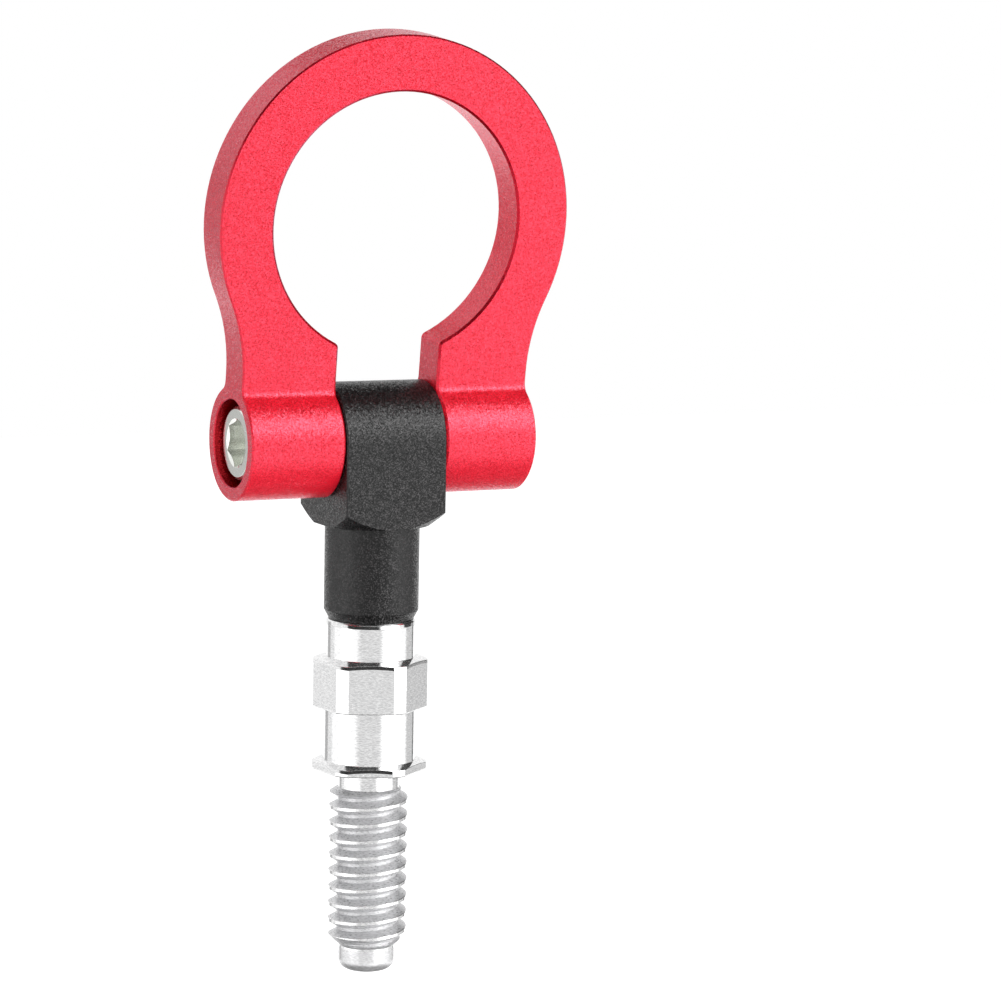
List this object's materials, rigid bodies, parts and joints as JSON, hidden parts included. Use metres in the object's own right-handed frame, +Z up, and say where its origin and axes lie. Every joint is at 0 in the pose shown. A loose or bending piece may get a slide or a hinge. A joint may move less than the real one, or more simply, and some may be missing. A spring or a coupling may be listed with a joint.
{
  "type": "tow eye",
  "caption": "Screw-in tow eye: an open tow ring swings on a cross bolt in a round-topped block, above a stud with a wrench hexagon, a seat flange and a coarse thread.",
  "frame": {"origin": "on the stud's axis, in the plane of the flange's underside, which is the face that seats when the stud is screwed in", "axes": "+Z up the stud's axis towards the ring, +X along the cross bolt from its head to its threaded end, -Y to the front, the side to which the ring leans at rest"},
  "size_m": [0.0734, 0.0261, 0.1871],
  "materials": {
    "red_anodised": "bead-blasted and anodised red, satin",
    "plated_steel": "plated, satin",
    "black_anodised": "bead-blasted and anodised black, satin",
    "chromed_steel": "bright chrome over turned steel"
  },
  "bodies": {
    "stud": {"threaded_stud": "chromed_steel", "pivot_block": "black_anodised"},
    "ring": {"tow_ring": "red_anodised", "pivot_bolt": "plated_steel"}
  },
  "joints": [
    {"name": "ring_swing", "type": "hinge", "parent": "stud", "child": "ring", "pos_m": [0, 0, 0.0661], "axis": [1, 0, 0], "range_deg": [-176, 161]}
  ]
}
